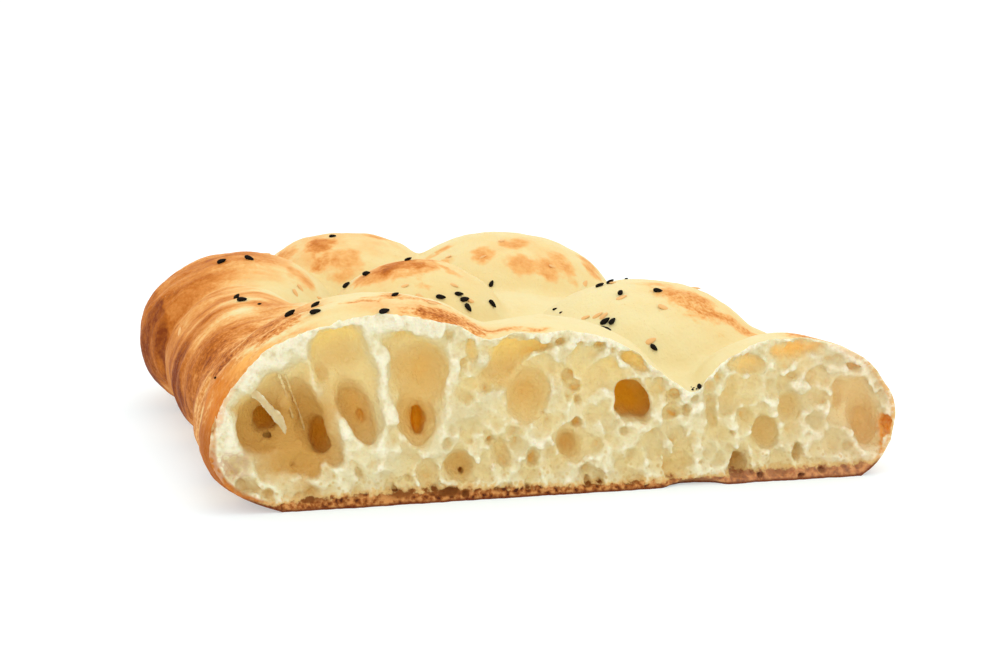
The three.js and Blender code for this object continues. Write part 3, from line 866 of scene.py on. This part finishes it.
DEEPEST = 18
CRUMB_SHADE_BY_DEPTH = (
    # how far behind the cut, as a share of the deepest, and its colour: painted shade and bounced light,
    # darker and more orange the deeper the crumb lies
    (0.00, (0.86, 0.80, 0.59)),
    (0.04, (0.78, 0.70, 0.44)),
    (0.12, (0.76, 0.62, 0.31)),
    (0.26, (0.79, 0.59, 0.25)),
    (0.45, (0.78, 0.50, 0.16)),
    (0.70, (0.92, 0.43, 0.014)),
    (1.00, (0.94, 0.47, 0.00)),
)
SPECKLES = (
    # how crumbly the base is, and its colour: the browned base, with painted shade in its pores at the dark
    # end
    (0.38, (0.07, 0.010, 0.001)),
    (0.50, (0.31, 0.088, 0.013)),
    (0.66, (0.61, 0.275, 0.08)),
)
# The base band is darkened further behind the cut as painted shade; to the right it is paler.
SPECKLES_SHADED_BEHIND, SPECKLES_RIGHT = (0.26, 0.085, 0.015), (0.64, 0.31, 0.16)
# Painted shade inside the left caves: brown on the walls, darker on the back walls.
CAVE_WALL_IN_SHADE, CAVE_BACK_IN_SHADE = (0.58, 0.3, 0.06), (0.56, 0.195, 0.0)
# Painted shade on the shreds in the left cave, darker where they hang further back.
FILM_IN_SHADE, FILM_DEEPER_IN_SHADE = (0.6, 0.45, 0.23), (0.6, 0.39, 0.16)
GLOW, GLOW_RIGHT = (1.0, 0.72, 0.22), (1.0, 0.58, 0.14)
RIND, RIND_RIGHT = (0.74, 0.3, 0.06), (0.7, 0.42, 0.14)
crumb, tree, shader = new_finish("open crumb")
across, back, up = position()
behind = maths("DIVIDE", back, DEEPEST)
stands_out, under_skin = number("ridge"), number("skin")
pores = put("ShaderNodeTexVoronoi", {"Vector": mapped((1, 1, 1)), "Scale": 1 / (1.7 * MM)})["Distance"]

# There are more pores low down, painted as darker dots of shade, and the browned base is a speckled band of
# uneven height, with painted shade in its pores.
porous = plus(0.25, (plus(up, noise(6), 14), 20, 9), 0.6)
baked = maths("MAXIMUM", step(number("toast"), 0.3, 0.7), step(across, 80, 92))
mottled = plus(0.16, (across, -30, -20), 0.18)
crumbly = plus(product(noise(1.2, 5), 0.7), pores, 0.4)
speckles = blend(ramp(crumbly, SPECKLES), SPECKLES_SHADED_BEHIND, (behind, 0.03, 0.12))
speckles = blend(speckles, SPECKLES_RIGHT, (across, 25, 60), 0.4)
thicker = product((across, 20, -30), 1.2, (across, -80, -45))
thicker = plus(thicker, (across, 40, 66))
band = maths("SUBTRACT", plus(up, noise(1.8, 4), 4.4), thicker)
LAYERS = {
    # name: colour laid over what is there, and the shares that let it through, as for product
    # painted highlight: ridges that stand out of the cut face are paler
    "painted highlight on the ridges": ((0.91, 0.86, 0.66), (stands_out, 0.1, 0.8), (behind, 0.3, 0.1)),
    # painted shade: hollows of the cut face are darker
    "painted shade in the dips": ((0.72, 0.51, 0.21), (stands_out, -0.05, -0.7), (behind, 0.4, 0.15), 0.6),
    # painted shade: the deepest pits are darker orange, as light bounced inside them
    "painted orange shade in the pits": ((0.85, 0.42, 0.05), (stands_out, -0.35, -0.8), (behind, 0.08, 0.25), 0.85),
    # painted shade: the walls of the left caves browner and darker towards the back
    "painted shade inside the left caves": (
        blend(CAVE_WALL_IN_SHADE, CAVE_BACK_IN_SHADE, (behind, 0.45, 0.7)),
        (across, -42, -60), (behind, 0.03, 0.18), (up, 37, 26), 0.92),
    # painted shade: the shreds darker than the crumb, more so deeper in the cave
    "film in the left cave, in painted shade": (blend(FILM_IN_SHADE, FILM_DEEPER_IN_SHADE, (behind, 0.12, 0.3)), number("shred"), 0.85),
    "light through thin crust": (
        blend(GLOW, GLOW_RIGHT, (across, 50, 62)), (under_skin, 11, 2), (up, 22, 34), (behind, 0.05, 0.25)),
    # painted shade: darker dots for pores too small to model, more of them low down
    "pores": ((0.62, 0.42, 0.15), (pores, 0.42, 0.12), porous, (behind, 0.25, 0.1)),
    "cut crust": (
        blend(RIND, RIND_RIGHT, (across, 60, 85)), baked, (under_skin, 1.7, 0.8), (noise(1.6, 4), 0.3, 0.55)),
    "burnt rim, left": ((0.48, 0.14, 0.008), (across, -60, -70), (up, 22, 15), (under_skin, 1.9, 0.9), 0.85),
    "torn net, left": (
        (0.6, 0.36, 0.22), (across, -74.5, -77), (up, 18, 15.5), (up, 8, 10), (pores, 0.35, 0.6), 0.6),
    "blush, right": ((0.8, 0.5, 0.32), (across, 62, 88), 0.2),
    "pocket, right end": ((0.76, 0.28, 0.03), (across, 96.2, 97.4), (behind, 0.02, 0.05), (up, 17.6, 16.4)),
    # painted shade: greyer, darker patches in the shallow hollows, broken up by noise
    "patchy painted shade in the hollows": (
        (0.62, 0.52, 0.29), (noise(9), 0.45, 0.65), (behind, 0.015, 0.06), (behind, 0.26, 0.12), 0.4),
    "mottle": ((0.66, 0.5, 0.26), (noise(1.1, 5), 0.4, 0.75), mottled, (behind, 0.3, 0.1)),
    "over the base": ((0.7, 0.46, 0.17), (band, 5.8, 4.4)),
    "base": (speckles, (band, 4.6, 3.7)),
    # the dark baked sole, with painted shade where the bread meets the table
    "baked sole and painted contact shade": ((0.12, 0.02, 0.003), (under_skin, 1.0, 0.2), (up, 6, 3), 0.9),
}
# Painted shade by depth first: the crumb darker and more orange the further it lies behind the cut.
colour = ramp(behind, CRUMB_SHADE_BY_DEPTH)
for tint, *shares in LAYERS.values():
    colour = blend(colour, tint, *shares)
feed(shader, {"Base Color": colour, "Normal": relief(noise(0.9, 5), 0.95, 0.7), "Roughness": 0.65,
              "Specular IOR Level": 0.15, "Subsurface Weight": 0.3, "Subsurface Radius": (3, 1.6, 0.7),
              "Subsurface Scale": MM})

bread.data.materials.clear()
bread.data.materials.append(crust)
bread.data.materials.append(crumb)
for face in bread.data.polygons:
    face.material_index = int(max(skin[i] for i in face.vertices) > 0.03)
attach(bread, "root")
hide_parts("bread")

# ---------------------------------------------------------------- nigella seeds
# Black nigella seeds scattered over the crust before baking: small angular drops about 3 mm long,
# stuck on where they fell, most of them in loose groups.
NIGELLA = (
    # x, y from the cut, turn from lying along the cut, size
    (-75.1, 108.1, 10, 1), (-66.9, 106.9, -20, 1), (-36.5, 146.4, 0, 0.8), (-73, 74.2, 50, 0.9),
    (-72, 67.4, -15, 1), (-62.9, 16.6, -12, 1.1), (-56.2, 16.9, 5, 0.9), (-57.3, 7.3, 0, 1),
    (-33.5, 85, 40, 1), (-39.2, 87.5, 35, 1), (-35.4, 15.2, 30, 0.8), (-40.4, 0.9, 25, 1.05),
    (-14, 69, -10, 1), (-8.1, 71.6, -5, 0.9), (-6.6, 70.4, 20, 1), (-6, 68.4, -50, 1),
    (10.4, 114.3, 60, 0.9), (2.4, 74.4, -20, 1), (17.5, 55.7, 0, 0.5), (18, 50.5, 0, 0.35),
    (31.1, 56.4, 0, 0.9), (34.4, 57.1, 20, 0.9), (34.2, 45.1, 60, 1), (45, 44.2, 0, 0.95),
    (25.6, 34.4, 10, 1.1), (27.4, 36, 0, 1.1), (29.2, 35, 40, 0.95), (27.2, 33.6, -30, 0.9),
    (38.8, 26.1, -60, 0.9), (44.4, 0.6, 80, 0.9), (-20.5, 88, 5, 0.8), (42.5, 1, 0, 0.3),
    (43.5, 0.8, 40, 0.25), (43, 2, 0, 0.25), (42.8, 3.4, 70, 0.2), (-83, 14, 80, 0.45), (-67.5, 62, 0, 0.4),
    (27, 28, 0, 0.3), (-30, 72, 0, 0.3), (40, 60, 0, 0.4),
)


def seed_shape(length, width, height, segments, rings, point):
    """One seed lying along x: a ball with flat facets drawn in to a point at one end."""
    bpy.ops.mesh.primitive_uv_sphere_add(segments=segments, ring_count=rings, radius=1,
                                         rotation=(0, math.radians(90), 0))
    seed = bpy.context.object
    bpy.ops.object.transform_apply(location=False, rotation=True, scale=True)
    for vertex in seed.data.vertices:
        taper = 1 - point * (vertex.co.x + 1) / 2
        vertex.co = (vertex.co.x * length / 2 * MM, vertex.co.y * width / 2 * taper * MM,
                     vertex.co.z * height / 2 * taper * MM)
    return seed


def strew(shape, name, places, sunk):
    """Copies of the seed at those places on the crust, each sunk in a little."""
    laid = []
    for x, y, turn, size in places:
        above = Vector((x * MM, cut_y + y * MM, 0.1))
        place, outward, _, _ = crust_net.ray_cast(above, Vector((0, 0, -1)))
        seed = shape.copy()
        seed.data = shape.data.copy()
        bpy.context.collection.objects.link(seed)
        seed.location = place + outward * sunk * size * MM
        upright = outward.to_track_quat("Z", "Y")
        lies = upright @ Vector((1, 0, 0))
        off = math.radians(turn) - math.atan2(lies.y, lies.x)
        seed.rotation_mode = "QUATERNION"
        seed.rotation_quaternion = (upright @ Quaternion((0, 0, 1), off)
                                    @ Quaternion((0, 1, 0), dice.uniform(-0.3, 0.3)))
        seed.scale = (size, size * dice.uniform(0.9, 1.15), size)
        laid.append(seed)
    bpy.data.objects.remove(shape)
    return join(laid, name)


def dress(piece, name, colour, roughness, specular):
    """Gives the piece a plain finish of that name and ties it to the bread's body."""
    finish, _, shader = new_finish(name)
    feed(shader, {"Base Color": (*colour, 1), "Roughness": roughness, "Specular IOR Level": specular})
    piece.data.materials.clear()
    piece.data.materials.append(finish)
    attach(piece, "root")


dice = random.Random(11)
seed = seed_shape(length=3.1, width=2, height=1.8, segments=7, rings=6, point=0.5)
nigella = strew(seed, "nigella_seeds", NIGELLA, sunk=0.45)
dress(nigella, "nigella", (0.011, 0.009, 0.007), 0.7, 0.03)

# ---------------------------------------------------------------- sesame seeds
# A few sesame seeds toasted orange, flat drops about 3.5 mm long pressed half into the crust.
SESAME = (
    # x, y from the cut, turn from lying along the cut, size
    (44.5, 36.2, -10, 1.1), (38.3, 27.4, 20, 0.95), (-89.6, 77.8, 60, 1), (-52.2, 98, -40, 0.9),
    (42.8, 120.5, 70, 0.9), (9.7, 125.2, 10, 0.7), (-54.1, 94.7, -50, 0.9), (26, 39.5, -5, 1),
    (22.9, 41.4, -20, 0.9), (27.4, 38, 15, 0.9), (33.9, 42.8, 10, 1), (35, 56, 25, 0.8),
    (17.9, 134.4, 30, 0.8), (-0.4, 131.9, -35, 0.8), (-4.4, 70.8, 10, 0.8), (-9, 74, -20, 0.8),
    (-20, 69, -30, 0.9), (-29, 71, 30, 0.8), (32, 121, 0, 0.8), (-46, 101, 30, 0.9), (60, 56, 10, 1),
    (28, 78, -30, 1), (-60, 128, 30, 1), (-26, 12, 15, 0.9), (-36, 74, -10, 0.9), (-24, 73, 5, 0.8),
)
seed = seed_shape(length=3.5, width=2, height=0.9, segments=10, rings=8, point=0.5)
sesame = strew(seed, "sesame_seeds", SESAME, sunk=0.1)
dress(sesame, "toasted sesame", (0.76, 0.44, 0.17), 0.45, 0.15)

# ---------------------------------------------------------------- studio
# A plain white table that runs out of sight, lit a little from below like a light table, a white
# room, and soft light from above and the front.
bpy.ops.mesh.primitive_plane_add(size=6, location=(0, 0, 0))
table = bpy.context.object
table.name = "table"
white, _, shader = new_finish("white table")
feed(shader, {"Base Color": (0.62, 0.63, 0.63, 1), "Roughness": 0.9,
              "Emission Color": (0.82, 0.97, 1.0, 1), "Emission Strength": 0.42})
table.data.materials.append(white)
room = bpy.data.worlds.new("white room")
bpy.context.scene.world = room
room.use_nodes = True
feed(room.node_tree.nodes["Background"], {"Color": (1, 1, 1, 1), "Strength": 1.12})
bpy.context.scene.view_settings.view_transform = "Standard"


def softbox(name, place, aim, size, watts):
    """A square soft light at that place, turned to face the aim."""
    bpy.ops.object.light_add(type="AREA", location=place)
    light = bpy.context.object
    light.name = name
    light.data.size = size
    light.data.energy = watts
    light.rotation_euler = (Vector(aim) - Vector(place)).to_track_quat("-Z", "Y").to_euler()


softbox("overhead", (0.12, 0.0, 1.0), (0, 0, 0), 0.9, 2.0)
softbox("front", (-0.1, -1.1, 0.7), (0, 0, 0.02), 0.6, 0.7)
